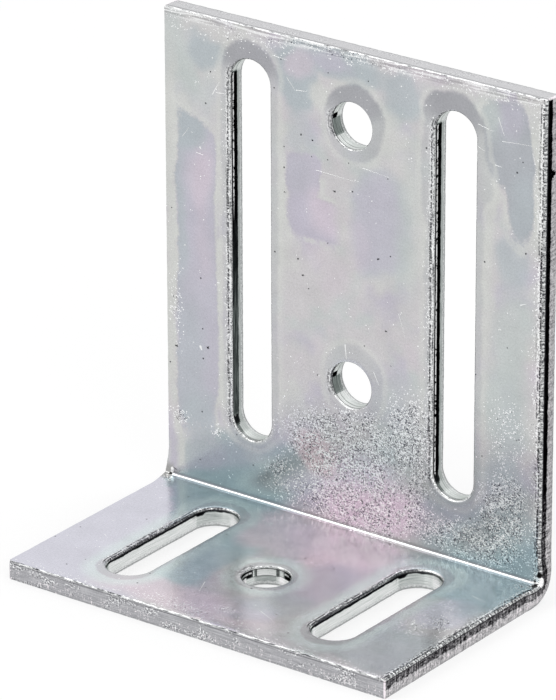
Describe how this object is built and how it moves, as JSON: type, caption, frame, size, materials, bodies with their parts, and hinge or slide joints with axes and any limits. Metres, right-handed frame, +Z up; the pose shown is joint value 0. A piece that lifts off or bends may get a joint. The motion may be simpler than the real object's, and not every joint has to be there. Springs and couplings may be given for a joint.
{
  "type": "adjustable angle bracket",
  "caption": "Folded steel angle bracket with long slots up the upright and along the base for adjustment, and round fixing holes between them.",
  "frame": {"origin": "on the ground, in the middle of the bracket's width and of its depth", "axes": "+Z up the upright, +X along the width to the right of the picture's viewer, +Y from the front of the base to the outer face of the upright"},
  "size_m": [0.066, 0.04, 0.075],
  "materials": {
    "zinc_steel": "zinc plated, clear blue passivated, faint pink and green bloom round the holes"
  },
  "bodies": {
    "root": {"bracket_plate": "zinc_steel"}
  },
  "joints": []
}
